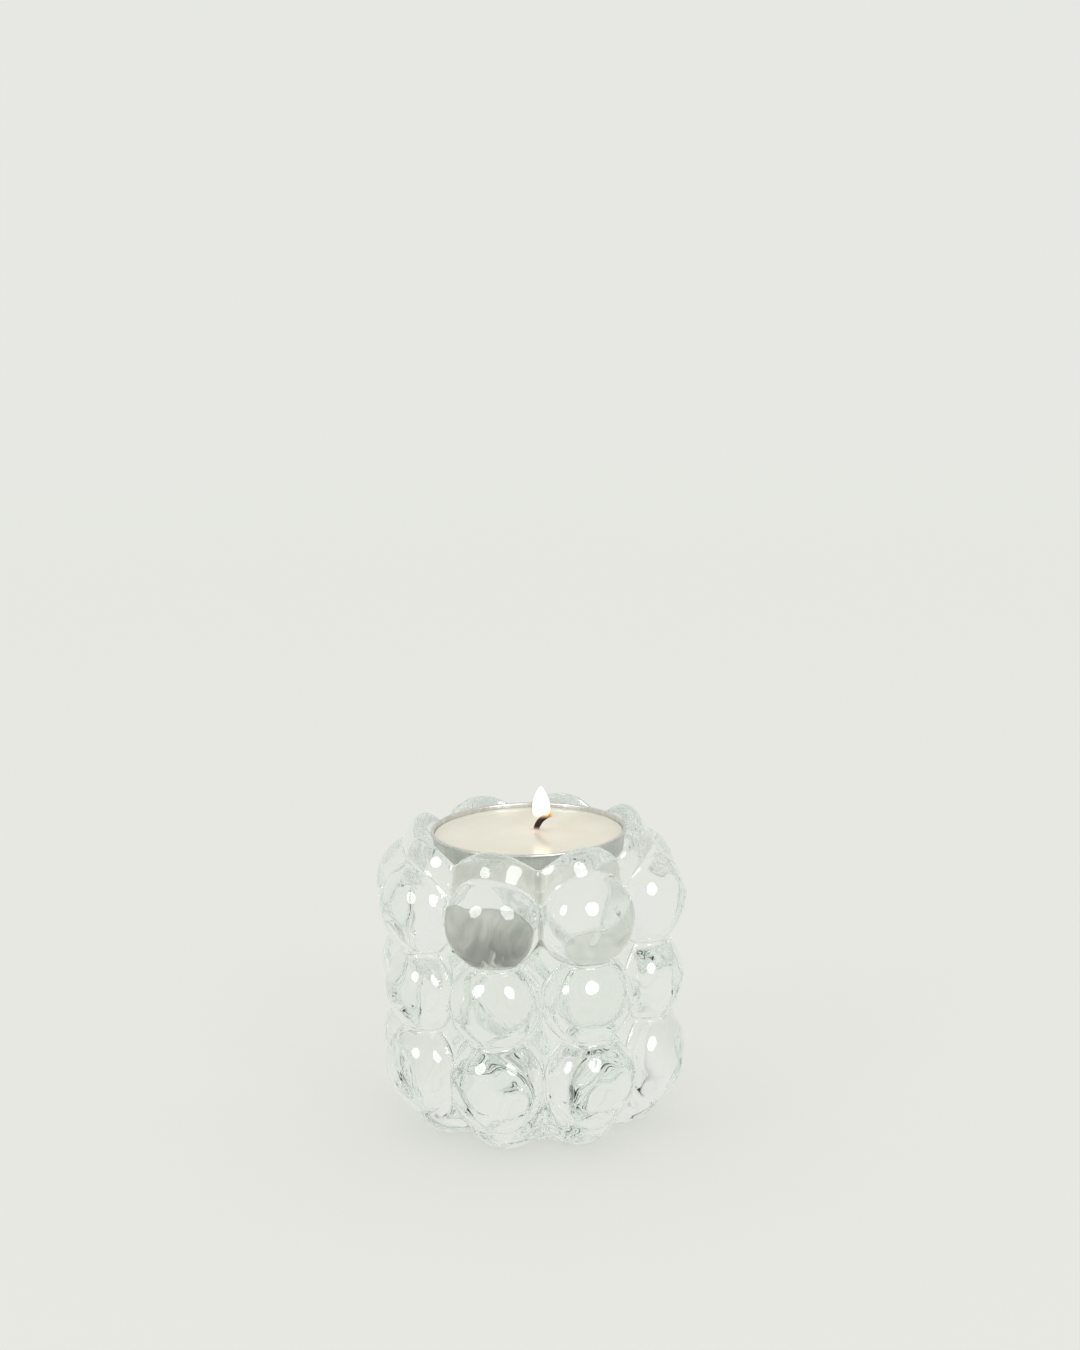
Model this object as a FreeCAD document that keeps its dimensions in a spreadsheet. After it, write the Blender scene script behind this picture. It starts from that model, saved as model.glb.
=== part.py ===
"""Pressed-glass tealight holder with the tealight that stands in it.

Units are millimetres.  The origin is the middle of the base, +Z is up, and the
first column of bubbles faces +X.
"""
import FreeCAD, Part
import os
import Sketcher

from FreeCAD import Placement, Rotation, Vector

SHEET = "dims"

DIMENSIONS = {
    # Glass holder: columns of bubbles round a solid core.
    "columns": 8,
    "bubble_ring": 23.6,
    "row_pitch": 15.8,
    "middle_row_height": 30.5,
    "top_bubble_radial": 7.6,
    "top_bubble_across": 9.15,
    "top_bubble_tall": 9.05,
    "middle_bubble_radial": 6.9,
    "middle_bubble_across": 8.75,
    "middle_bubble_tall": 8.7,
    "low_bubble_radial": 7.2,
    "low_bubble_across": 8.95,
    "low_bubble_tall": 9.2,
    # Half-sunk lobes that crown the rim and make the feet.
    "upper_lobe_ring": 14.2,
    "upper_lobe_height": 53.0,
    "upper_lobe_radial": 11.4,
    "upper_lobe_across": 10.3,
    "upper_lobe_tall": 9.9,
    "lower_lobe_ring": 17.0,
    "lower_lobe_height": 9.3,
    "lower_lobe_radial": 9.8,
    "lower_lobe_across": 8.6,
    "lower_lobe_tall": 9.7,
    "core_radius": 22.8,
    "core_bottom": 6.0,
    "core_top": 52.0,
    "core_bevel": 3.0,
    "foot_radius": 17.5,
    "foot_bottom": 1.2,
    # Recess: a short upright lip over a wall that narrows to the floor.
    "recess_radius": 22.0,
    "recess_floor_radius": 17.5,
    "recess_floor": 40.3,
    "recess_edge": 58.3,
    "recess_clear": 70.0,
    # Aluminium cup: drawn foil with a rolled rim, its wall a little tapered.
    "cup_radius": 18.8,
    "cup_foot_radius": 17.1,
    "cup_tall": 18.2,
    "cup_corner": 1.4,
    "foil": 0.2,
    "rim_bead": 0.35,
    "dimple_radius": 12.0,
    "dimple_rise": 0.4,
    # Wax fill, with a meniscus where it climbs the cup's wall.
    "wax_gap": 0.05,
    "wax_fill": 16.9,
    "meniscus_rise": 0.35,
    "meniscus_width": 0.8,
    # Wick and the pressed steel sustainer that holds it up.
    "wick_across": 0.64,
    "wick_along": 2.64,
    "wick_turn": 18.0,
    "wick_radius": 0.7,
    "wick_bore_gap": 0.12,
    "wick_bend_depth": 0.5,
    "wick_bend_radius": 3.8,
    "wick_bend_angle": 80.0,
    "sustainer_radius": 6.5,
    "sustainer_sheet": 0.25,
    "sustainer_neck_radius": 1.2,
    "sustainer_neck_tall": 4.0,
    "fit_gap": 0.03,
}


def dim(name):
    """Expression that reads one cell of the sheet."""
    return f"{SHEET}.{name}"


def make_sheet(doc):
    """Put the driving dimensions in a spreadsheet, one aliased cell each."""
    sheet = doc.addObject("Spreadsheet::Sheet", SHEET)
    for row, (name, value) in enumerate(DIMENSIONS.items(), start=1):
        sheet.set(f"A{row}", name)
        sheet.set(f"B{row}", str(value))
        sheet.setAlias(f"B{row}", name)
    doc.recompute()
    return sheet


def origin_feature(body, role):
    """One of the body's own origin planes or axes."""
    return next(item for item in body.Origin.OriginFeatures if item.Role == role)


def new_body(doc, label):
    body = doc.addObject("PartDesign::Body", label)
    body.Label = label
    return body


def new_sketch(body, name, plane, lift=None):
    """Sketch on an origin plane, lifted along its normal by an expression."""
    sketch = body.newObject("Sketcher::SketchObject", name)
    sketch.AttachmentSupport = [(origin_feature(body, plane), "")]
    sketch.MapMode = "FlatFace"
    if lift:
        sketch.setExpression("AttachmentOffset.Base.z", lift)
    return sketch


def bind(sketch, constraint, expression):
    """Add a dimensional constraint whose value the sheet sets."""
    index = sketch.addConstraint(constraint)
    sketch.setExpression(f"Constraints[{index}]", expression)


def place_point(sketch, edge, end, horizontal, vertical):
    """Fix a point by two expressions; "0" puts it on the axis itself."""
    if horizontal == "0":
        sketch.addConstraint(Sketcher.Constraint("PointOnObject", edge, end, -2))
    else:
        bind(sketch, Sketcher.Constraint("DistanceX", edge, end, 1.0), horizontal)
    if vertical == "0":
        sketch.addConstraint(Sketcher.Constraint("PointOnObject", edge, end, -1))
    else:
        bind(sketch, Sketcher.Constraint("DistanceY", edge, end, 1.0), vertical)


def value_of(sheet, expression):
    """Number that an expression in the sheet's cells stands for now."""
    return 0.0 if expression == "0" else float(sheet.evalExpression(expression))


def polygon(sketch, sheet, corners):
    """Closed outline through corners given as pairs of expressions."""
    start = sketch.GeometryCount
    places = [Vector(value_of(sheet, x), value_of(sheet, y), 0) for x, y in corners]
    following = places[1:] + places[:1]
    for here, there in zip(places, following):
        sketch.addGeometry(Part.LineSegment(here, there))
    count = len(corners)
    for side in range(count):
        after = start + (side + 1) % count
        sketch.addConstraint(Sketcher.Constraint("Coincident", start + side, 2, after, 1))
    for side, (x, y) in enumerate(corners):
        place_point(sketch, start + side, 1, x, y)


def circle(sketch, radius, x="0", y="0"):
    """Circle about a point given as expressions."""
    edge = sketch.addGeometry(Part.Circle(Vector(0, 0, 0), Vector(0, 0, 1), 1.0))
    bind(sketch, Sketcher.Constraint("Radius", edge, 1.0), radius)
    place_point(sketch, edge, 3, x, y)


def revolve(body, name, sketch, kind="PartDesign::Revolution"):
    """Turn a sketch on the XZ plane once round the Z axis."""
    feature = body.newObject(kind, name)
    feature.Profile = sketch
    feature.ReferenceAxis = (origin_feature(body, "Z_Axis"), [""])
    feature.Angle = 360.0
    return feature


def revolved_body(doc, sheet, label, corners):
    """Body made by one turn of a polygon of (radius, height) expressions."""
    body = new_body(doc, label)
    sketch = new_sketch(body, f"{label}_section", "XZ_Plane")
    polygon(sketch, sheet, corners)
    revolve(body, f"{label}_turned", sketch)
    return body


def ring_of_ellipsoids(body, name, ring, height, radial, across, tall):
    """One ellipsoid facing +X, repeated round the Z axis once per column."""
    bump = body.newObject("PartDesign::AdditiveEllipsoid", name)
    bump.MapMode = "Deactivated"
    bump.setExpression("Placement.Base.x", ring)
    bump.setExpression("Placement.Base.z", height)
    bump.setExpression("Radius1", tall)
    bump.setExpression("Radius2", radial)
    bump.setExpression("Radius3", across)
    pattern = body.newObject("PartDesign::PolarPattern", f"{name}_ring")
    pattern.Originals = [bump]
    pattern.Axis = (origin_feature(body, "Z_Axis"), [""])
    pattern.Angle = 360.0
    pattern.setExpression("Occurrences", dim("columns"))
    body.Tip = pattern
    return pattern


def make_glass_holder(doc, sheet):
    """Solid glass: core, three rows of bubbles, rim and foot lobes, recess."""
    body = revolved_body(doc, sheet, "glass_holder", [
        ("0", dim("foot_bottom")),
        (dim("foot_radius"), dim("foot_bottom")),
        (dim("foot_radius"), dim("core_bottom")),
        (f"{dim('core_radius')} - {dim('core_bevel')}", dim("core_bottom")),
        (dim("core_radius"), f"{dim('core_bottom')} + {dim('core_bevel')}"),
        (dim("core_radius"), dim("core_top")),
        ("0", dim("core_top")),
    ])
    for row, step in (("low", "-"), ("middle", "+ 0 *"), ("top", "+")):
        height = f"{dim('middle_row_height')} {step} {dim('row_pitch')}"
        ring_of_ellipsoids(
            body, f"{row}_bubble", dim("bubble_ring"), height,
            dim(f"{row}_bubble_radial"),
            dim(f"{row}_bubble_across"),
            dim(f"{row}_bubble_tall"),
        )
    for end in ("lower", "upper"):
        ring_of_ellipsoids(
            body, f"{end}_lobe", dim(f"{end}_lobe_ring"), dim(f"{end}_lobe_height"),
            dim(f"{end}_lobe_radial"),
            dim(f"{end}_lobe_across"),
            dim(f"{end}_lobe_tall"),
        )
    doc.recompute()
    cut_recess(doc, sheet, body)
    cut_base(doc, body)
    return body


def cut_recess(doc, sheet, body):
    """Round recess for the tealight, drafted inwards under its upright lip."""
    before = body.Shape.Volume
    sketch = new_sketch(body, "recess_section", "XZ_Plane")
    polygon(sketch, sheet, [
        ("0", dim("recess_floor")),
        (dim("recess_floor_radius"), dim("recess_floor")),
        (dim("recess_radius"), dim("recess_edge")),
        (dim("recess_radius"), dim("recess_clear")),
        ("0", dim("recess_clear")),
    ])
    revolve(body, "recess", sketch, "PartDesign::Groove")
    doc.recompute()
    check_removed(before, body.Shape.Volume, "recess")


def cut_base(doc, body):
    """Grind the feet flat at the base plane."""
    before = body.Shape.Volume
    sketch = new_sketch(body, "base_outline", "XY_Plane")
    circle(sketch, f"{dim('bubble_ring')} * 2")
    ground = body.newObject("PartDesign::Pocket", "ground_base")
    ground.Profile = sketch
    ground.setExpression("Length", dim("lower_lobe_tall"))
    doc.recompute()
    check_removed(before, body.Shape.Volume, "ground_base")


def check_removed(before, after, name):
    if not after < before:
        raise RuntimeError(f"{name} cuts nothing")


def make_cup(doc, sheet):
    """Drawn foil cup: dimpled base, tapered wall and rolled rim."""
    slope_end = f"{dim('dimple_radius')} + {dim('dimple_rise')}"
    heel = f"{dim('cup_foot_radius')} - {dim('cup_corner')}"
    brim = f"{dim('cup_tall')} - {dim('rim_bead')}"
    body = revolved_body(doc, sheet, "aluminium_cup", [
        ("0", dim("dimple_rise")),
        (dim("dimple_radius"), dim("dimple_rise")),
        (slope_end, "0"),
        (heel, "0"),
        (dim("cup_foot_radius"), dim("cup_corner")),
        (dim("cup_radius"), brim),
        (f"{dim('cup_radius')} - {dim('foil')}", brim),
        (f"{dim('cup_foot_radius')} - {dim('foil')}", dim("cup_corner")),
        (f"{heel} - {dim('foil')} / 2", dim("foil")),
        (f"{slope_end} + {dim('foil')} / 2", dim("foil")),
        (f"{dim('dimple_radius')} + {dim('foil')} / 2",
         f"{dim('dimple_rise')} + {dim('foil')}"),
        ("0", f"{dim('dimple_rise')} + {dim('foil')}"),
    ])
    bead = body.newObject("PartDesign::AdditiveTorus", "rolled_rim")
    bead.MapMode = "Deactivated"
    bead.setExpression("Placement.Base.z", brim)
    bead.setExpression("Radius1", f"{dim('cup_radius')} - {dim('foil')} / 2")
    bead.setExpression("Radius2", dim("rim_bead"))
    body.setExpression("Placement.Base.z", dim("recess_floor"))
    return body


def make_wax(doc, sheet):
    """Wax cast in the cup round the sustainer and the wick."""
    inner_foot = f"{dim('cup_foot_radius')} - {dim('foil')} - {dim('wax_gap')}"
    inner_wall = f"{dim('cup_radius')} - {dim('foil')} - {dim('wax_gap')} * 2"
    floor_height = f"{dim('dimple_rise')} + {dim('foil')} + {dim('wax_gap')}"
    climb_start = f"{inner_wall} - {dim('rim_bead')} - {dim('meniscus_width')}"
    body = revolved_body(doc, sheet, "wax", [
        ("0", floor_height),
        (f"{inner_foot} - {dim('cup_corner')}", floor_height),
        (inner_foot, f"{floor_height} + {dim('cup_corner')}"),
        (f"{inner_wall} - {dim('rim_bead')}",
         f"{dim('wax_fill')} + {dim('meniscus_rise')}"),
        (climb_start, dim("wax_fill")),
        ("0", dim("wax_fill")),
    ])
    doc.recompute()
    sheet_top = f"{floor_height} + {dim('sustainer_sheet')}"
    pierce(doc, body, "wick_bore", f"{dim('wick_radius')} + {dim('wick_bore_gap')}",
           f"{dim('cup_tall')}")
    pierce(doc, body, "neck_bore", f"{dim('sustainer_neck_radius')} + {dim('fit_gap')}",
           f"{floor_height} + {dim('sustainer_neck_tall')} + {dim('fit_gap')}")
    pierce(doc, body, "neck_root_bore",
           f"{dim('sustainer_neck_radius')} + {dim('sustainer_sheet')} + {dim('fit_gap')}",
           f"{sheet_top} + {dim('sustainer_sheet')} + {dim('fit_gap')}")
    pierce(doc, body, "sustainer_seat", f"{dim('sustainer_radius')} + {dim('fit_gap')}",
           f"{sheet_top} + {dim('fit_gap')}")
    body.setExpression("Placement.Base.z", dim("recess_floor"))
    return body


def pierce(doc, body, name, radius, height):
    """Round hole from below the wax up to a height, on the wick's axis."""
    before = body.Shape.Volume
    sketch = new_sketch(body, f"{name}_outline", "XY_Plane")
    circle(sketch, radius, dim("wick_across"), dim("wick_along"))
    hole = body.newObject("PartDesign::Pocket", name)
    hole.Profile = sketch
    hole.Reversed = True
    hole.setExpression("Length", height)
    doc.recompute()
    check_removed(before, body.Shape.Volume, name)


def stand_on_wick_axis(body):
    """Place a body on the cup's floor, on the wick's axis, turned its way."""
    body.Placement = Placement(Vector(0, 0, 0), Rotation(Vector(0, 0, 1), 0))
    body.setExpression("Placement.Base.x", dim("wick_across"))
    body.setExpression("Placement.Base.y", dim("wick_along"))
    body.setExpression(
        "Placement.Base.z",
        f"{dim('recess_floor')} + {dim('dimple_rise')} + {dim('foil')} + {dim('wax_gap')}",
    )
    body.setExpression("Placement.Rotation.Angle", f"{dim('wick_turn')} * 1 deg")


def make_sustainer(doc, sheet):
    """Pressed steel disc with a crimped neck that grips the wick."""
    bore = f"{dim('wick_radius')} + {dim('fit_gap')}"
    body = revolved_body(doc, sheet, "wick_sustainer", [
        (bore, "0"),
        (dim("sustainer_radius"), "0"),
        (dim("sustainer_radius"), dim("sustainer_sheet")),
        (f"{dim('sustainer_neck_radius')} + {dim('sustainer_sheet')}",
         dim("sustainer_sheet")),
        (dim("sustainer_neck_radius"), f"{dim('sustainer_sheet')} * 2"),
        (dim("sustainer_neck_radius"), dim("sustainer_neck_tall")),
        (bore, dim("sustainer_neck_tall")),
    ])
    stand_on_wick_axis(body)
    return body


def make_wick(doc, sheet):
    """Braided wick: straight through the wax, curling over from just under its top."""
    body = new_body(doc, "wick")
    length = f"{dim('wax_fill')} - {dim('wick_bend_depth')} - {dim('dimple_rise')}"
    straight = value_of(sheet, length)
    bend = value_of(sheet, dim("wick_bend_radius"))
    path = new_sketch(body, "wick_path", "XZ_Plane")
    path.addGeometry(Part.LineSegment(Vector(0, 0, 0), Vector(0, straight, 0)))
    turn = Part.ArcOfCircle(
        Part.Circle(Vector(bend, straight, 0), Vector(0, 0, 1), bend), 1.75, 3.14159)
    path.addGeometry(turn)
    path.addConstraint(Sketcher.Constraint("Coincident", 0, 1, -1, 1))
    path.addConstraint(Sketcher.Constraint("Vertical", 0))
    path.addConstraint(Sketcher.Constraint("Tangent", 0, 2, 1, 2))
    bind(path, Sketcher.Constraint("DistanceY", 0, 1, 0, 2, 1.0), length)
    bind(path, Sketcher.Constraint("Radius", 1, 1.0), dim("wick_bend_radius"))
    bind(path, Sketcher.Constraint("Angle", 1, 1.0), f"{dim('wick_bend_angle')} * 1 deg")
    section = new_sketch(body, "wick_section", "XY_Plane")
    circle(section, dim("wick_radius"))
    pipe = body.newObject("PartDesign::AdditivePipe", "wick_swept")
    pipe.Profile = section
    pipe.Spine = (path, ["Edge1", "Edge2"])
    stand_on_wick_axis(body)
    return body


def check(doc, bodies):
    """Stop on any failed feature or broken solid."""
    for item in doc.Objects:
        if "Invalid" in item.State or "Error" in item.State:
            raise RuntimeError(f"{item.Label} failed: {item.State}")
    for body in bodies:
        shape = body.Shape
        if shape.isNull() or not shape.isValid():
            raise RuntimeError(f"{body.Label} has no valid shape")
        box = shape.BoundBox
        print(f"{body.Label}: {len(shape.Solids)} solid, {shape.Volume:.1f} mm3, "
              f"z {box.ZMin:.2f} to {box.ZMax:.2f}, width {box.XLength:.2f}")


def main():
    doc = FreeCAD.newDocument("tealight_holder")
    sheet = make_sheet(doc)
    bodies = [
        make_glass_holder(doc, sheet),
        make_cup(doc, sheet),
        make_wax(doc, sheet),
        make_sustainer(doc, sheet),
        make_wick(doc, sheet),
    ]
    doc.recompute()
    check(doc, bodies)
    os.makedirs("parts", exist_ok=True)
    for body in bodies:
        body.Shape.exportStep(f"parts/{body.Label}.step")


main()
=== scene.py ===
"""Looks for the bubble-glass tealight holder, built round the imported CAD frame.

Lengths are metres unless a name ends in _MM.  The object's +Z is up and its
origin is the middle of the base.
"""
import math

import bpy
import numpy as np
from mathutils import Matrix, Vector


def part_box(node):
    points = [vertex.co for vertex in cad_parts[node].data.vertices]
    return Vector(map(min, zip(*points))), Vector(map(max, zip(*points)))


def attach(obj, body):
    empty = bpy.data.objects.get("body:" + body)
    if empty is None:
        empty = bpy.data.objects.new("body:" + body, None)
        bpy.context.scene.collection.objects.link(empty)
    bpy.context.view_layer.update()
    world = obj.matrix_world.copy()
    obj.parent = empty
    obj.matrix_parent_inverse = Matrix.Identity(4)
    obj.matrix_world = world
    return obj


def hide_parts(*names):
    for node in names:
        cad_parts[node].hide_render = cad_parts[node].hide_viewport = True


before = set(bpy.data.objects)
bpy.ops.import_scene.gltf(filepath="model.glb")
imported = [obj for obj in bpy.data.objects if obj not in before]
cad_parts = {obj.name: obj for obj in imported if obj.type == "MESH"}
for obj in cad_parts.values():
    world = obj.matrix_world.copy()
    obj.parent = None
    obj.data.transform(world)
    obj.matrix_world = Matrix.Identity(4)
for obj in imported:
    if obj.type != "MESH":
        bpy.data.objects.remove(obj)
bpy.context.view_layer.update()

MM = 0.001
COLUMNS = 8

# Places read from the CAD frame, in millimetres.
CUP_BOTTOM_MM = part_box("aluminium_cup")[0].z / MM
CUP_TOP_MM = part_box("aluminium_cup")[1].z / MM
CUP_RADIUS_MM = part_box("aluminium_cup")[1].x / MM
WAX_TOP_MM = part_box("wax")[1].z / MM
WICK_LOW, WICK_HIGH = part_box("wick")
SUSTAINER_LOW, SUSTAINER_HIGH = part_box("wick_sustainer")

# Bubbles of the glass, row by row from the foot: (ring radius, height, radial, across, tall).
BUBBLE_RING_MM = 23.6
ROWS_MM = [
    (17.0, 9.3, 9.8, 8.6, 9.7),
    (BUBBLE_RING_MM, 14.7, 7.2, 8.95, 9.2),
    (BUBBLE_RING_MM, 30.5, 6.9, 8.75, 8.7),
    (BUBBLE_RING_MM, 46.3, 7.6, 9.15, 9.05),
    (14.2, 53.0, 11.4, 10.3, 9.9),
]

# Core of the glass, the narrower foot under it, and the recess.
CORE_RADIUS_MM = 22.8
CORE_BOTTOM_MM = 6.0
FOOT_RADIUS_MM = 17.5
FOOT_BOTTOM_MM = 1.2
CORE_TOP_MM = 52.0
RECESS_RADIUS_MM = 22.0
RECESS_FLOOR_RADIUS_MM = 17.5
RECESS_FLOOR_MM = CUP_BOTTOM_MM
RECESS_EDGE_MM = 58.3
RECESS_CORNER_MM = 0.8

# How soft the creases, the lip and the ground base are, and how fine the mesh is.
CREASE_MM = 0.45
LIP_MM = 0.30
BASE_EDGE_MM = 0.15
SIDES = 352
TRACE_STEPS = 70
TRACE_SHARE = 0.8
FIRST_REACH_MM = 16.0
UNEVEN = 0.010
RIPPLE_MM = 0.035


def new_object(name, mesh):
    """Object in the scene with this mesh."""
    thing = bpy.data.objects.new(name, mesh)
    bpy.context.scene.collection.objects.link(thing)
    return thing


def grid_mesh(name, rings, close_end=True):
    """Surface through rings of points, each ring an (n, 3) array, closed at its first ring."""
    count = len(rings[0])
    points = np.concatenate(rings)
    faces = []
    for row in range(len(rings) - 1):
        base = row * count
        for side in range(count):
            after = (side + 1) % count
            faces.append((base + side, base + after, base + count + after, base + count + side))
    extra = [rings[0].mean(axis=0)]
    tip = len(points)
    faces += [(tip, (side + 1) % count, side) for side in range(count)]
    if close_end:
        extra.append(rings[-1].mean(axis=0))
        tip = len(points) + 1
        last = (len(rings) - 1) * count
        faces += [(tip, last + side, last + (side + 1) % count) for side in range(count)]
    points = np.vstack([points, np.array(extra)])
    mesh = bpy.data.meshes.new(name)
    mesh.from_pydata(points.tolist(), [], faces)
    mesh.polygons.foreach_set("use_smooth", [True] * len(mesh.polygons))
    mesh.update()
    return mesh


# ---------------------------------------------------------------- glass shape

def uneven_rows():
    """Every bubble a little different, as pressed glass is."""
    chance = np.random.default_rng(7)
    rows = np.repeat(np.array(ROWS_MM)[:, None, :], COLUMNS, axis=1)
    spread = chance.normal(0.0, UNEVEN, rows.shape)
    spread[:, :, 0] *= 0.3
    spread[:, :, 1] = 0.0
    return rows * (1.0 + spread)


def ellipsoid_distance(x, y, z, radial, across, tall):
    """Near enough the distance to an ellipsoid, for tracing towards it."""
    k0 = np.sqrt((x / radial) ** 2 + (y / across) ** 2 + (z / tall) ** 2)
    k1 = np.sqrt((x / radial ** 2) ** 2 + (y / across ** 2) ** 2 + (z / tall ** 2) ** 2)
    return k0 * (k0 - 1.0) / np.maximum(k1, 1e-9)


def ripple(radius, angle, height):
    """Faint waviness that fire polishing leaves, in millimetres."""
    x = radius * np.cos(angle)
    y = radius * np.sin(angle)
    return RIPPLE_MM * (np.sin(0.61 * x + 0.83 * height + 0.4) * np.cos(0.74 * y - 0.36 * height)
                        + 0.6 * np.sin(1.13 * y + 0.57 * x) * np.cos(0.97 * height + 1.9))


def glass_distance(radius, angle, height, rows):
    """Signed distance to the glass, with soft creases and a rounded rim."""
    step = 2.0 * math.pi / COLUMNS
    nearest = np.rint(angle / step).astype(int)
    beyond_core = np.maximum(radius - CORE_RADIUS_MM,
                             np.maximum(CORE_BOTTOM_MM - height, height - CORE_TOP_MM))
    beyond_foot = np.maximum(radius - FOOT_RADIUS_MM,
                             np.maximum(FOOT_BOTTOM_MM - height, height - CORE_TOP_MM))
    total = np.exp(-beyond_core / CREASE_MM) + np.exp(-beyond_foot / CREASE_MM)
    for neighbour in (-1, 0, 1):
        column = nearest + neighbour
        off = angle - column * step
        along = radius * np.cos(off)
        aside = radius * np.sin(off)
        for row in rows:
            ring, level, radial, across, tall = row[column % COLUMNS].T
            gap = ellipsoid_distance(along - ring, aside, height - level, radial, across, tall)
            total += np.exp(-gap / CREASE_MM)
    solid = ripple(radius, angle, height) - CREASE_MM * np.log(total)
    hollowed = soft_greatest(solid, -recess_distance(radius, height), LIP_MM)
    return soft_greatest(hollowed, -height, BASE_EDGE_MM)


def wall_radius(height):
    """Radius of the recess wall, which leans in from its edge to its floor."""
    share = (height - RECESS_FLOOR_MM) / (RECESS_EDGE_MM - RECESS_FLOOR_MM)
    return RECESS_FLOOR_RADIUS_MM + (RECESS_RADIUS_MM - RECESS_FLOOR_RADIUS_MM) * share


def recess_distance(radius, height):
    """Signed distance to the recess, taken as open for ever upwards."""
    lean = math.atan2(RECESS_RADIUS_MM - RECESS_FLOOR_RADIUS_MM, RECESS_EDGE_MM - RECESS_FLOOR_MM)
    beyond_wall = np.maximum(radius - RECESS_RADIUS_MM,
                             (radius - wall_radius(height)) * math.cos(lean))
    return np.maximum(beyond_wall, RECESS_FLOOR_MM - height)


def soft_greatest(a, b, softness):
    """Greater of two distances, rounded where they are nearly equal."""
    return softness * np.logaddexp(a / softness, b / softness)


def glass_rays():
    """Rays (start radius, start height, slope angle) that cover the outside.

    They go down under the base, round the feet, up the side, over the rim and
    down the top of the recess wall.
    """
    rays = []
    foot_ring, foot_height = 17.0, 12.0
    rim_ring, rim_height = RECESS_RADIUS_MM + 0.6, 50.5
    for radius in np.linspace(0.6, foot_ring, 34, endpoint=False):
        rays.append((radius, foot_height, -math.pi / 2))
    for slope in np.linspace(-math.pi / 2, 0.0, 42, endpoint=False):
        rays.append((foot_ring, foot_height, slope))
    for height in np.linspace(foot_height, rim_height, 96, endpoint=False):
        rays.append((rim_ring, height, 0.0))
    for slope in np.linspace(0.0, 80.0, 34, endpoint=False):
        rays.append((rim_ring, rim_height, math.radians(slope)))
    for slope in np.linspace(80.0, 117.0, 50):
        rays.append((rim_ring, rim_height, math.radians(slope)))
    return np.array(rays)


def glass_rings():
    """Rings of points over the whole glass surface, in millimetres."""
    rows = uneven_rows()
    rays = glass_rays()
    angles = np.arange(SIDES) * 2.0 * math.pi / SIDES
    start_r, start_z, slope = (np.repeat(rays[:, i:i + 1], SIDES, axis=1).ravel() for i in range(3))
    angle = np.tile(angles, len(rays))
    way_r = np.cos(slope)
    way_z = np.sin(slope)
    reach = np.full(len(angle), FIRST_REACH_MM)
    for _ in range(TRACE_STEPS):
        gap = glass_distance(start_r + way_r * reach, angle, start_z + way_z * reach, rows)
        reach -= TRACE_SHARE * gap
    radius = (start_r + way_r * reach).reshape(len(rays), SIDES)
    height = (start_z + way_z * reach).reshape(len(rays), SIDES)
    rings = [ring_points(r, z, angles) for r, z in zip(radius, height)]
    return rings + recess_rings(rings[-1], angles)


def ring_points(radius, height, angles):
    """One ring of points; radius and height are numbers or one value per angle."""
    return np.stack([radius * np.cos(angles), radius * np.sin(angles), height + 0.0 * angles], axis=1)


def recess_rings(last, angles):
    """From the end of the rim rays down the recess wall and in over its floor."""
    corner_top = RECESS_FLOOR_MM + RECESS_CORNER_MM
    corner_radius = wall_radius(corner_top)
    last_radius = np.hypot(last[:, 0], last[:, 1])
    rings = []
    for share in np.linspace(0.0, 1.0, 10)[1:]:
        rings.append(ring_points(last_radius * (1.0 - share) + corner_radius * share,
                                 last[:, 2] * (1.0 - share) + corner_top * share, angles))
    for turn in np.linspace(0.0, math.pi / 2, 6)[1:]:
        rings.append(ring_points(corner_radius - RECESS_CORNER_MM * (1.0 - math.cos(turn)),
                                 corner_top - RECESS_CORNER_MM * math.sin(turn), angles))
    for radius in np.linspace(corner_radius - RECESS_CORNER_MM, 1.0, 6)[1:]:
        rings.append(ring_points(radius, RECESS_FLOOR_MM, angles))
    return rings


def make_glass():
    """The whole glass as one closed surface."""
    rings = [ring * MM for ring in glass_rings()]
    return new_object("bubble_glass", grid_mesh("bubble_glass", rings))


# ------------------------------------------------------------- tealight shape

CUP_SIDES = 320
CUP_FOOT_RADIUS_MM = 17.1
CUP_CORNER_MM = 1.4
FOIL_MM = 0.2
BEAD_MM = 0.35
DIMPLE_RADIUS_MM = 12.0
DIMPLE_RISE_MM = 0.4
MENISCUS_MM = 0.35
WICK_COLLAR_MM = 0.42
CLIMB_WIDTH_MM = 0.45
WAX_LEVEL_MM = WAX_TOP_MM - MENISCUS_MM
WAX_RADIUS_MM = 18.34
WICK_RADIUS_MM = 0.58
WICK_BEND_MM = 3.8
WICK_DIP_MM = 0.5
WICK_TURN = math.radians(18.0)
WICK_CURL = math.radians(80.0)
WICK_BURIED_MM = 3.0
SUSTAINER_MIDDLE = (SUSTAINER_LOW + SUSTAINER_HIGH) / 2
WICK_FOOT_MM = (SUSTAINER_MIDDLE.x / MM, SUSTAINER_MIDDLE.y / MM)


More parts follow.
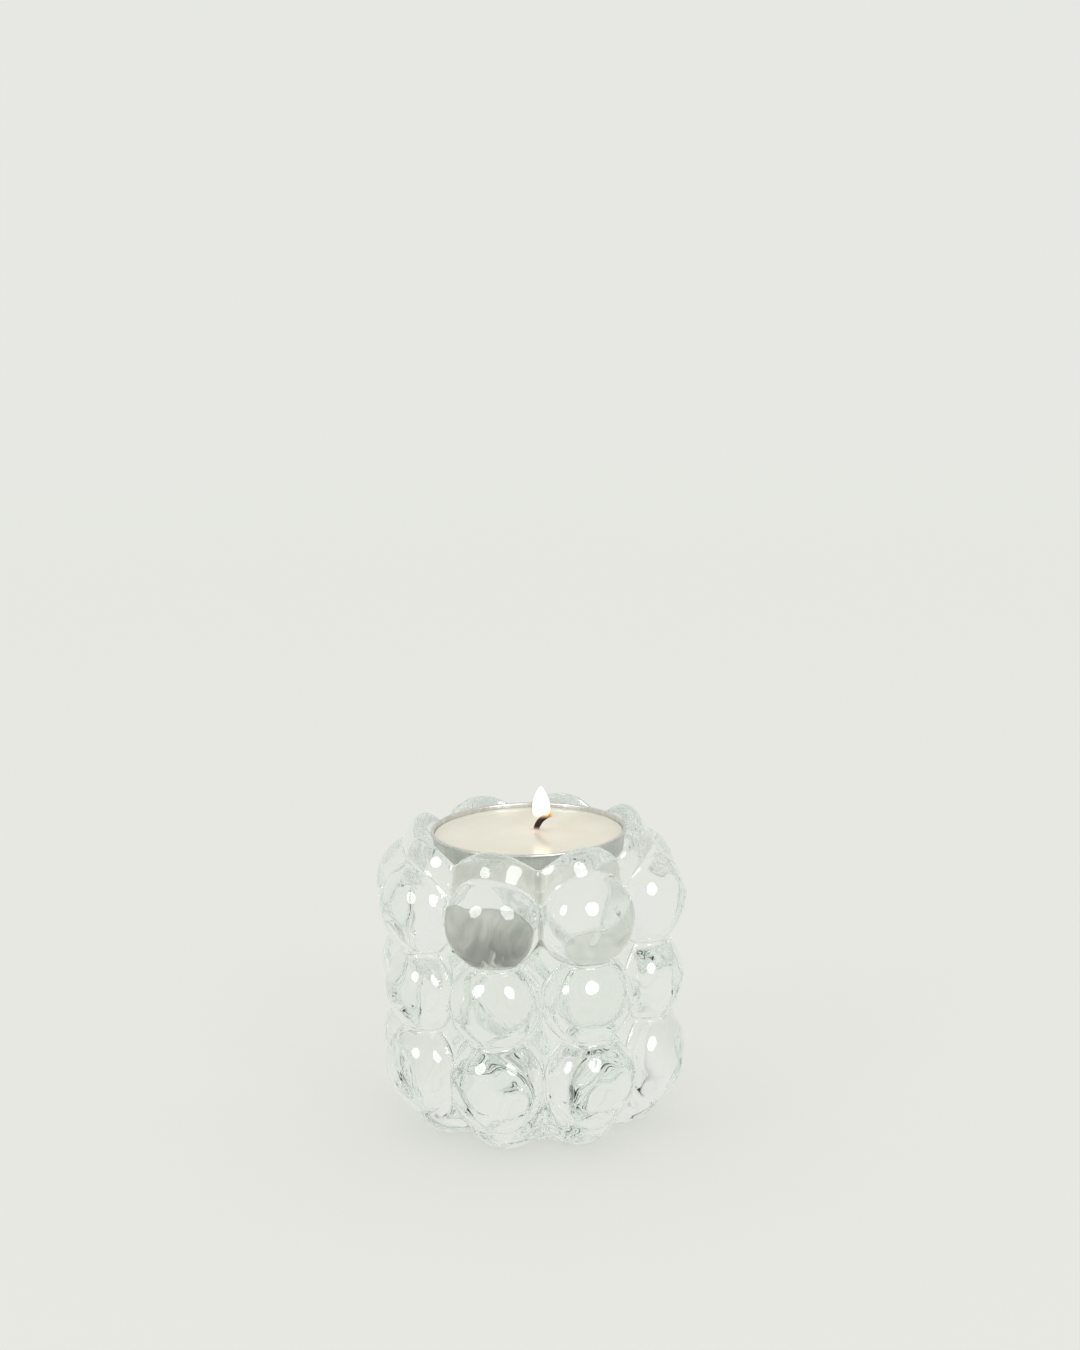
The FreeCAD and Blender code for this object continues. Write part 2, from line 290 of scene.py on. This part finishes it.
def cup_profile():
    """(radius, height, wrinkle share) from under the middle, over the rim, to the inner floor."""
    bottom = CUP_BOTTOM_MM
    bead_radius = CUP_RADIUS_MM - BEAD_MM
    bead_height = CUP_TOP_MM - BEAD_MM
    dimple = bottom + DIMPLE_RISE_MM
    points = [(0.8, dimple, 0.0), (6.0, dimple, 0.0), (DIMPLE_RADIUS_MM, dimple, 0.0),
              (12.25, bottom + 0.2, 0.0), (12.5, bottom, 0.0), (14.5, bottom, 0.0)]
    for turn in np.linspace(0.0, math.pi / 2, 7):
        points.append((CUP_FOOT_RADIUS_MM - CUP_CORNER_MM * (1.0 - math.sin(turn)),
                       bottom + CUP_CORNER_MM * (1.0 - math.cos(turn)), 0.2 * turn))
    for share in np.linspace(0.05, 0.97, 40):
        points.append((CUP_FOOT_RADIUS_MM + (bead_radius - CUP_FOOT_RADIUS_MM) * share,
                       bottom + CUP_CORNER_MM + (bead_height - bottom - CUP_CORNER_MM) * share,
                       0.3 + 0.7 * math.sin(math.pi * share)))
    for turn in np.linspace(math.radians(-70.0), math.radians(200.0), 15):
        points.append((bead_radius + BEAD_MM * math.cos(turn), bead_height + BEAD_MM * math.sin(turn), 0.15))
    for share in np.linspace(0.95, 0.0, 14):
        points.append((CUP_FOOT_RADIUS_MM - FOIL_MM + (bead_radius - CUP_FOOT_RADIUS_MM) * share,
                       bottom + CUP_CORNER_MM + (bead_height - bottom - CUP_CORNER_MM) * share,
                       0.3 + 0.7 * math.sin(math.pi * share)))
    points += [(15.9, bottom + 0.45, 0.0), (15.0, bottom + FOIL_MM, 0.0), (12.6, bottom + FOIL_MM, 0.0),
               (12.1, dimple + FOIL_MM, 0.0), (6.0, dimple + FOIL_MM, 0.0), (0.8, dimple + FOIL_MM, 0.0)]
    return points


def wrinkles(angles):
    """Uneven drawing wrinkles round the cup's wall, in millimetres."""
    chance = np.random.default_rng(11)
    total = np.zeros_like(angles)
    for count, deep in ((2, 0.05), (5, 0.03), (9, 0.022), (23, 0.014), (41, 0.012), (67, 0.010), (96, 0.006)):
        total += deep * np.cos(count * angles + chance.uniform(0.0, 2.0 * math.pi))
    return total


def make_cup():
    """Thin foil cup turned from its profile, with its wrinkles."""
    angles = np.arange(CUP_SIDES) * 2.0 * math.pi / CUP_SIDES
    rings = [ring_points(radius + share * wrinkles(angles), height, angles) * MM
             for radius, height, share in cup_profile()]
    return new_object("foil_cup", grid_mesh("foil_cup", rings))


def wax_height(x, y):
    """Top of the wax: a still pool that climbs the cup's wall and the wick."""
    radius = np.hypot(x, y)
    from_wick = np.hypot(x - WICK_FOOT_MM[0], y - WICK_FOOT_MM[1])
    climb = MENISCUS_MM * np.exp(-(WAX_RADIUS_MM - radius) / CLIMB_WIDTH_MM)
    collar = WICK_COLLAR_MM * np.exp(-(from_wick - WICK_RADIUS_MM) / CLIMB_WIDTH_MM)
    sway = 0.02 * np.sin(0.35 * x + 0.8) * np.cos(0.31 * y - 0.4)
    return WAX_LEVEL_MM + climb + np.minimum(collar, WICK_COLLAR_MM) + sway


def make_wax():
    """Wax fill, its top rings centred on the wick towards the middle."""
    angles = np.arange(160) * 2.0 * math.pi / 160
    bottom = CUP_BOTTOM_MM + 0.7
    wall = [(1.0, bottom), (8.0, bottom), (15.2, bottom), (16.3, bottom + 0.6), (16.7, bottom + 1.6),
            (17.1, bottom + 6.0), (17.6, bottom + 11.0), (WAX_RADIUS_MM - 0.08, WAX_LEVEL_MM - 0.6)]
    rings = [ring_points(radius, height, angles) for radius, height in wall]
    edge = WAX_RADIUS_MM - np.array([0.0, 0.12, 0.28, 0.5, 0.8, 1.2, 1.75, 2.5])
    for radius in (*edge, *np.linspace(15.0, 0.5, 50)):
        share = max(0.0, 1.0 - radius / 15.0)
        x = radius * np.cos(angles) + WICK_FOOT_MM[0] * share
        y = radius * np.sin(angles) + WICK_FOOT_MM[1] * share
        rings.append(np.stack([x, y, wax_height(x, y)], axis=1))
    return new_object("wax_fill", grid_mesh("wax_fill", [ring * MM for ring in rings]))


def wick_path(count):
    """Points and directions along the wick, from inside the wax to its curled tip."""
    straight_top = WAX_LEVEL_MM - WICK_DIP_MM
    side = Vector((math.cos(WICK_TURN), math.sin(WICK_TURN), 0.0))
    foot = Vector((WICK_FOOT_MM[0], WICK_FOOT_MM[1], 0.0))
    length = WICK_BURIED_MM + WICK_CURL * WICK_BEND_MM
    for step in np.linspace(0.0, length, count):
        turn = max(0.0, step - WICK_BURIED_MM) / WICK_BEND_MM
        height = straight_top - max(0.0, WICK_BURIED_MM - step) + WICK_BEND_MM * math.sin(turn)
        yield (foot + side * WICK_BEND_MM * (1.0 - math.cos(turn)) + Vector((0, 0, height)),
               (side * math.sin(turn) + Vector((0, 0, 1)) * math.cos(turn)).normalized())


def make_wick():
    """Braided tube whose strands cross over, thinned and ragged at the burnt end."""
    chance = np.random.default_rng(5)
    angles = np.arange(36) * 2.0 * math.pi / 36
    count = 90
    rings = []
    for index, (place, ahead) in enumerate(wick_path(count)):
        share = index / (count - 1)
        across = Vector((-math.sin(WICK_TURN), math.cos(WICK_TURN), 0.0))
        up = ahead.cross(across)
        braid = np.abs(np.sin(3 * angles + 26.0 * share * math.pi)) + np.abs(
            np.sin(3 * angles - 26.0 * share * math.pi))
        ragged = chance.normal(0.0, 0.012 + 0.02 * share, len(angles))
        radius = WICK_RADIUS_MM * (1.0 - 0.22 * share ** 3) + 0.07 * (braid - 1.2) + ragged
        rings.append(np.array([(place + (across * math.cos(a) + up * math.sin(a)) * float(r))[:]
                               for a, r in zip(angles, radius)]) * MM)
    return new_object("braided_wick", grid_mesh("braided_wick", rings))


FLAME_FOOT_MM = WAX_LEVEL_MM + 1.2
FLAME_TIP_MM = WAX_LEVEL_MM + 8.9
FLAME_RADIUS_MM = 1.75
FLAME_ASIDE_MM = 1.15


def make_flame():
    """Small still teardrop over the middle of the curled wick."""
    side = Vector((math.cos(WICK_TURN), math.sin(WICK_TURN), 0.0))
    middle = Vector((*WICK_FOOT_MM, 0.0)) + side * FLAME_ASIDE_MM
    angles = np.arange(48) * 2.0 * math.pi / 48
    rings = []
    for share in np.linspace(0.012, 0.992, 44):
        radius = FLAME_RADIUS_MM * math.sin(math.pi * share ** 0.80) ** 0.72
        rings.append((ring_points(radius, FLAME_FOOT_MM + (FLAME_TIP_MM - FLAME_FOOT_MM) * share, angles)
                      + np.array(middle)) * MM)
    return new_object("flame", grid_mesh("flame", rings))


# ------------------------------------------------------------------ materials

def new_material(name):
    """Node material, with its tree's parts at hand."""
    material = bpy.data.materials.new(name)
    material.use_nodes = True
    nodes = material.node_tree.nodes
    return material, nodes, material.node_tree.links, nodes["Principled BSDF"]


def noise_at(nodes, links, scale, detail=4.0, stretch=(1.0, 1.0, 1.0)):
    """Noise fixed to the object; scale counts features per metre."""
    place = nodes.new("ShaderNodeTexCoord")
    spread = nodes.new("ShaderNodeMapping")
    spread.inputs["Scale"].default_value = stretch
    links.new(place.outputs["Object"], spread.inputs["Vector"])
    noise = nodes.new("ShaderNodeTexNoise")
    noise.inputs["Scale"].default_value = scale
    noise.inputs["Detail"].default_value = detail
    links.new(spread.outputs["Vector"], noise.inputs["Vector"])
    return noise.outputs["Fac"]


def ramp(nodes, links, source, stops):
    """Colour ramp over a value; stops are (position, (r, g, b))."""
    node = nodes.new("ShaderNodeValToRGB")
    elements = node.color_ramp.elements
    while len(elements) < len(stops):
        elements.new(0.5)
    for element, (position, colour) in zip(elements, stops):
        element.position = position
        element.color = (*colour, 1.0)
    links.new(source, node.inputs["Fac"])
    return node.outputs["Color"]


def bump(nodes, links, shader, source, depth):
    """Relief of a given depth in metres."""
    node = nodes.new("ShaderNodeBump")
    node.inputs["Distance"].default_value = depth
    node.inputs["Strength"].default_value = 1.0
    links.new(source, node.inputs["Height"])
    links.new(node.outputs["Normal"], shader.inputs["Normal"])


def height_share(nodes, links, low_mm, high_mm):
    """0 to 1 between two heights on the object."""
    place = nodes.new("ShaderNodeTexCoord")
    split = nodes.new("ShaderNodeSeparateXYZ")
    links.new(place.outputs["Object"], split.inputs[0])
    share = nodes.new("ShaderNodeMapRange")
    share.inputs["From Min"].default_value = low_mm * MM
    share.inputs["From Max"].default_value = high_mm * MM
    links.new(split.outputs["Z"], share.inputs["Value"])
    return share.outputs["Result"]


def multiply(nodes, links, first, second):
    """One colour times another."""
    node = nodes.new("ShaderNodeMix")
    node.data_type = "RGBA"
    node.blend_type = "MULTIPLY"
    node.inputs["Factor"].default_value = 1.0
    links.new(first, node.inputs["A"])
    links.new(second, node.inputs["B"])
    return node.outputs["Result"]


def clear_glass():
    """Fire-polished pressed glass: clear, faintly green in the thick, softly rippled."""
    material, nodes, links, shader = new_material("clear_pressed_glass")
    tint = ramp(nodes, links, noise_at(nodes, links, 45.0, 2.0),
                [(0.35, (0.97, 0.99, 0.975)), (0.65, (1.0, 1.0, 1.0))])
    links.new(tint, shader.inputs["Base Color"])
    shader.inputs["Roughness"].default_value = 0.0
    shader.inputs["IOR"].default_value = 1.52
    shader.inputs["Transmission Weight"].default_value = 1.0
    bump(nodes, links, shader, noise_at(nodes, links, 210.0, 1.0), 0.00003)
    absorb = nodes.new("ShaderNodeVolumeAbsorption")
    absorb.inputs["Color"].default_value = (0.80, 0.92, 0.86, 1.0)
    absorb.inputs["Density"].default_value = 3.5
    links.new(absorb.outputs[0], nodes["Material Output"].inputs["Volume"])
    return material


def grey(level):
    """Slightly warm grey of a given linear level."""
    return (level, level, level * 0.985)


def foil():
    """Drawn aluminium with random marks, unevenly darkened by painted shade under its bead and by a painted
    dark reflection low on one side.
    """
    material, nodes, links, shader = new_material("drawn_aluminium")
    marks = ramp(nodes, links, noise_at(nodes, links, 900.0, 3.0, (1.0, 1.0, 0.06)),
                 [(0.30, grey(0.86)), (0.65, grey(1.0))])
    height = height_share(nodes, links, CUP_BOTTOM_MM, CUP_TOP_MM)
    streaks = nodes.new("ShaderNodeMath")
    streaks.operation = "MULTIPLY_ADD"
    streaks.inputs[1].default_value = 0.20
    links.new(noise_at(nodes, links, 1500.0, 4.0, (1.0, 1.0, 0.30)), streaks.inputs[0])
    links.new(height, streaks.inputs[2])
    # Painted shade: a darker streaky band under the bead, where the gap between cup and glass lies in shade.
    painted_shade_near_bead = ramp(nodes, links, streaks.outputs[0],
                     [(0.70, grey(1.0)), (0.92, grey(0.66)), (1.0, grey(0.72))])
    # Painted dark reflection: a darker streaky patch low on the wall, standing for dark surroundings mirrored
    # in the foil.
    painted_low_reflection = ramp(nodes, links, streaks.outputs[0],
               [(0.115, grey(0.90)), (0.145, grey(0.34)), (0.20, grey(0.46)), (0.26, grey(0.70)),
                (0.33, grey(0.95))])
    # The painted dark reflection is on the side towards -Y.
    place = nodes.new("ShaderNodeTexCoord")
    split = nodes.new("ShaderNodeSeparateXYZ")
    links.new(place.outputs["Object"], split.inputs[0])
    painted_reflection_side = nodes.new("ShaderNodeMapRange")
    painted_reflection_side.interpolation_type = "SMOOTHSTEP"
    painted_reflection_side.inputs["From Min"].default_value = -0.78 * CUP_FOOT_RADIUS_MM * MM
    painted_reflection_side.inputs["From Max"].default_value = -0.97 * CUP_FOOT_RADIUS_MM * MM
    links.new(split.outputs["Y"], painted_reflection_side.inputs["Value"])
    painted_reflection = nodes.new("ShaderNodeMix")
    painted_reflection.data_type = "RGBA"
    painted_reflection.inputs["A"].default_value = (1.0, 1.0, 1.0, 1.0)
    links.new(painted_reflection_side.outputs["Result"], painted_reflection.inputs["Factor"])
    links.new(painted_low_reflection, painted_reflection.inputs["B"])
    # Painted shade and painted dark reflection together darken the foil's colour.
    painted_shade_and_reflection = multiply(nodes, links, painted_shade_near_bead, painted_reflection.outputs["Result"])
    links.new(multiply(nodes, links, marks, painted_shade_and_reflection), shader.inputs["Base Color"])
    shader.inputs["Metallic"].default_value = 1.0
    rough = nodes.new("ShaderNodeMapRange")
    rough.inputs["To Min"].default_value = 0.22
    rough.inputs["To Max"].default_value = 0.36
    links.new(noise_at(nodes, links, 260.0), rough.inputs["Value"])
    links.new(rough.outputs["Result"], shader.inputs["Roughness"])
    bump(nodes, links, shader, noise_at(nodes, links, 1400.0, 3.0, (1.0, 1.0, 0.05)), 0.00002)
    return material


def wax_material():
    """Paraffin: cream, milky, glossy where it has melted."""
    material, nodes, links, shader = new_material("paraffin_wax")
    cream = ramp(nodes, links, noise_at(nodes, links, 110.0, 5.0),
                 [(0.30, (0.87, 0.81, 0.70)), (0.70, (0.92, 0.88, 0.78))])
    links.new(cream, shader.inputs["Base Color"])
    rough = nodes.new("ShaderNodeMapRange")
    rough.inputs["To Min"].default_value = 0.10
    rough.inputs["To Max"].default_value = 0.30
    links.new(noise_at(nodes, links, 160.0, 3.0), rough.inputs["Value"])
    links.new(rough.outputs["Result"], shader.inputs["Roughness"])
    shader.inputs["IOR"].default_value = 1.44
    shader.inputs["Subsurface Weight"].default_value = 0.35
    shader.inputs["Subsurface Radius"].default_value = (1.0, 0.65, 0.4)
    shader.inputs["Subsurface Scale"].default_value = 0.0015
    bump(nodes, links, shader, noise_at(nodes, links, 90.0, 2.0), 0.00005)
    return material


def wick_material():
    """Cream where wax soaks it, black char above, an ember at the very tip."""
    material, nodes, links, shader = new_material("charred_cotton")
    grain = noise_at(nodes, links, 1800.0, 5.0)
    height = height_share(nodes, links, WAX_LEVEL_MM - 0.5, WICK_HIGH.z / MM)
    burnt = ramp(nodes, links, height, [(0.0, (0.80, 0.62, 0.40)), (0.20, (0.70, 0.45, 0.22)),
                                        (0.30, (0.025, 0.012, 0.010)), (0.80, (0.05, 0.02, 0.012)),
                                        (1.0, (0.55, 0.22, 0.03))])
    shade = ramp(nodes, links, grain, [(0.3, (0.55, 0.55, 0.55)), (0.7, (1.0, 1.0, 1.0))])
    links.new(multiply(nodes, links, burnt, shade), shader.inputs["Base Color"])
    shader.inputs["Roughness"].default_value = 0.9
    place = nodes.new("ShaderNodeTexCoord")
    away = nodes.new("ShaderNodeVectorMath")
    away.operation = "DISTANCE"
    away.inputs[1].default_value = (WICK_HIGH.x, (WICK_LOW.y + WICK_HIGH.y) / 2 + 0.0005, WICK_HIGH.z)
    links.new(place.outputs["Object"], away.inputs[0])
    near = nodes.new("ShaderNodeMapRange")
    near.inputs["From Min"].default_value = 0.0021
    near.inputs["From Max"].default_value = 0.0012
    near.inputs["To Max"].default_value = 1.3
    links.new(away.outputs["Value"], near.inputs["Value"])
    glow = ramp(nodes, links, grain, [(0.35, (0.55, 0.12, 0.005)), (0.65, (1.0, 0.55, 0.10))])
    links.new(glow, shader.inputs["Emission Color"])
    links.new(near.outputs["Result"], shader.inputs["Emission Strength"])
    bump(nodes, links, shader, grain, 0.0001)
    return material


def tinned_sheet():
    """Pressed tinplate with fine rolling marks."""
    material, nodes, links, shader = new_material("tinned_sheet")
    marks = noise_at(nodes, links, 700.0, 4.0, (1.0, 0.1, 1.0))
    links.new(ramp(nodes, links, marks, [(0.3, (0.50, 0.50, 0.50)), (0.7, (0.68, 0.68, 0.67))]),
              shader.inputs["Base Color"])
    shader.inputs["Metallic"].default_value = 1.0
    shader.inputs["Roughness"].default_value = 0.35
    bump(nodes, links, shader, marks, 0.00002)
    return material


def flame_material():
    """White-hot body that thins out at its edge and towards its foot."""
    material, nodes, links, shader = new_material("flame")
    nodes.remove(shader)
    height = height_share(nodes, links, FLAME_FOOT_MM, FLAME_TIP_MM)
    hot = nodes.new("ShaderNodeEmission")
    links.new(ramp(nodes, links, height, [(0.05, (1.0, 0.62, 0.42)), (0.35, (1.0, 0.86, 0.66)),
                                          (1.0, (1.0, 0.93, 0.80))]), hot.inputs["Color"])
    hot.inputs["Strength"].default_value = 3.2
    clear = nodes.new("ShaderNodeBsdfTransparent")
    edge = nodes.new("ShaderNodeLayerWeight")
    edge.inputs["Blend"].default_value = 0.5
    soft_edge = nodes.new("ShaderNodeMapRange")
    soft_edge.interpolation_type = "SMOOTHSTEP"
    soft_edge.inputs["From Min"].default_value = 0.95
    soft_edge.inputs["From Max"].default_value = 0.45
    links.new(edge.outputs["Facing"], soft_edge.inputs["Value"])
    foot = nodes.new("ShaderNodeMapRange")
    foot.interpolation_type = "SMOOTHSTEP"
    foot.inputs["From Min"].default_value = 0.18
    foot.inputs["From Max"].default_value = 0.55
    links.new(height, foot.inputs["Value"])
    both = nodes.new("ShaderNodeMath")
    both.operation = "MULTIPLY"
    links.new(soft_edge.outputs["Result"], both.inputs[0])
    links.new(foot.outputs["Result"], both.inputs[1])
    mix = nodes.new("ShaderNodeMixShader")
    links.new(both.outputs[0], mix.inputs["Fac"])
    links.new(clear.outputs[0], mix.inputs[1])
    links.new(hot.outputs[0], mix.inputs[2])
    links.new(mix.outputs[0], nodes["Material Output"].inputs["Surface"])
    return material


# ------------------------------------------------------------ stage and light

VIEW_TURN = math.radians(17.9)
LIT_RADIUS = 0.45
GLOW_RADIUS = 1.1
PAPER = (0.91, 0.92, 0.875)
PAPER_GLOW = 0.64
AIR = (0.799, 0.807, 0.768)
FILL_RADIANCE = 1.5
GLINT_RADIANCE = 6.5
GLINT_NEARER = 0.98
CAMERA_PLACE = Vector((0.0, -0.5, 0.1991))
CAMERA_PITCH = math.radians(12.44)
CAMERA_YAW = math.radians(0.33)
CAMERA_ROLL = math.radians(-1.24)


def turned(x, y, z):
    """A place seen from the camera's side, turned into the object's frame."""
    return Matrix.Rotation(VIEW_TURN, 4, "Z") @ Vector((x, y, z))


def make_stage():
    """Pale floor: back-lit paper that melts into an even glow far out."""
    material, nodes, links, shader = new_material("pale_paper")
    shader.inputs["Base Color"].default_value = (*PAPER, 1.0)
    shader.inputs["Roughness"].default_value = 0.9
    shader.inputs["Specular IOR Level"].default_value = 0.2
    place = nodes.new("ShaderNodeNewGeometry")
    away = nodes.new("ShaderNodeVectorMath")
    away.operation = "LENGTH"
    links.new(place.outputs["Position"], away.inputs[0])
    far = nodes.new("ShaderNodeMapRange")
    far.interpolation_type = "SMOOTHSTEP"
    far.inputs["From Min"].default_value = LIT_RADIUS
    far.inputs["From Max"].default_value = GLOW_RADIUS
    far.inputs["To Min"].default_value = PAPER_GLOW
    links.new(away.outputs["Value"], far.inputs["Value"])
    glow = nodes.new("ShaderNodeEmission")
    glow.inputs["Color"].default_value = (*AIR, 1.0)
    mix = nodes.new("ShaderNodeMixShader")
    links.new(far.outputs["Result"], mix.inputs["Fac"])
    links.new(shader.outputs[0], mix.inputs[1])
    links.new(glow.outputs[0], mix.inputs[2])
    links.new(mix.outputs[0], nodes["Material Output"].inputs["Surface"])
    angles = np.arange(96) * 2.0 * math.pi / 96
    rings = [np.stack([r * np.cos(angles), r * np.sin(angles), 0 * angles], axis=1)
             for r in (0.05, 0.2, 0.6, 1.5, 6.0, 40.0)]
    floor = new_object("paper_floor", grid_mesh("paper_floor", rings, close_end=False))
    floor.data.materials.append(material)


def add_lamp(name, place, size, radiance):
    """Round lamp aimed at the holder, set by how bright its face is."""
    lamp = bpy.data.lights.new(name, "AREA")
    lamp.shape = "DISK"
    lamp.size = size
    lamp.energy = radiance * math.pi * math.pi * (size / 2) ** 2
    thing = bpy.data.objects.new(name, lamp)
    bpy.context.scene.collection.objects.link(thing)
    thing.location = place
    thing.rotation_euler = (Vector((0, 0, 0.03)) - place).to_track_quat("-Z", "Y").to_euler()
    return thing


def add_softbox(side, place, size):
    """Soft fill light, with a brighter face just before it that only gloss mirrors."""
    fill = add_lamp(f"{side}_softbox", place, size, FILL_RADIANCE)
    fill.visible_transmission = False
    glint = add_lamp(f"{side}_glint", place * GLINT_NEARER, size, GLINT_RADIANCE)
    glint.visible_diffuse = False
    glint.visible_transmission = False
    glint.visible_volume_scatter = False


def make_world():
    """Even pale surround, as inside a light tent."""
    world = bpy.data.worlds.new("studio_air")
    world.use_nodes = True
    world.node_tree.nodes["Background"].inputs["Color"].default_value = (*AIR, 1.0)
    bpy.context.scene.world = world


def make_camera():
    """Camera before the holder, turned with the lamps round the object."""
    data = bpy.data.cameras.new("camera")
    data.lens = 71.15
    data.sensor_width = 36.0
    data.clip_start = 0.01
    data.dof.use_dof = False
    camera = bpy.data.objects.new("camera", data)
    bpy.context.scene.collection.objects.link(camera)
    level = math.cos(CAMERA_PITCH)
    ahead = Vector((math.sin(CAMERA_YAW) * level, math.cos(CAMERA_YAW) * level, -math.sin(CAMERA_PITCH)))
    right = Vector((math.cos(CAMERA_YAW), -math.sin(CAMERA_YAW), 0.0))
    up = right.cross(ahead)
    rolled_right = right * math.cos(CAMERA_ROLL) + up * math.sin(CAMERA_ROLL)
    rolled_up = up * math.cos(CAMERA_ROLL) - right * math.sin(CAMERA_ROLL)
    basis = Matrix((rolled_right, rolled_up, -ahead)).transposed().to_4x4()
    spin = Matrix.Rotation(VIEW_TURN, 4, "Z")
    camera.matrix_world = spin @ Matrix.Translation(CAMERA_PLACE) @ basis
    bpy.context.scene.camera = camera


def show_as_photographed():
    """Plain display colours, and enough bounces for light to leave thick glass."""
    scene = bpy.context.scene
    scene.cycles.max_bounces = 32
    scene.cycles.transmission_bounces = 32
    scene.cycles.glossy_bounces = 12
    scene.view_settings.view_transform = "Standard"


def dress(piece, material, body, node=None):
    """Give a piece its finish and its body, and hide the CAD node that it stands for."""
    piece.data.materials.append(material)
    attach(piece, body)
    if node:
        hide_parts(node)


make_camera()
dress(make_glass(), clear_glass(), "holder", "glass_holder")
dress(make_cup(), foil(), "tealight", "aluminium_cup")
dress(make_wax(), wax_material(), "tealight", "wax")
dress(make_wick(), wick_material(), "tealight", "wick")
dress(make_flame(), flame_material(), "tealight")
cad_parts["wick_sustainer"].data.materials.clear()
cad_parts["wick_sustainer"].data.materials.append(tinned_sheet())

make_stage()
make_world()
add_softbox("left", turned(-1.06, -0.9, 0.78), 0.64)
add_softbox("right", turned(0.975, -1.745, 1.205), 1.2)
show_as_photographed()
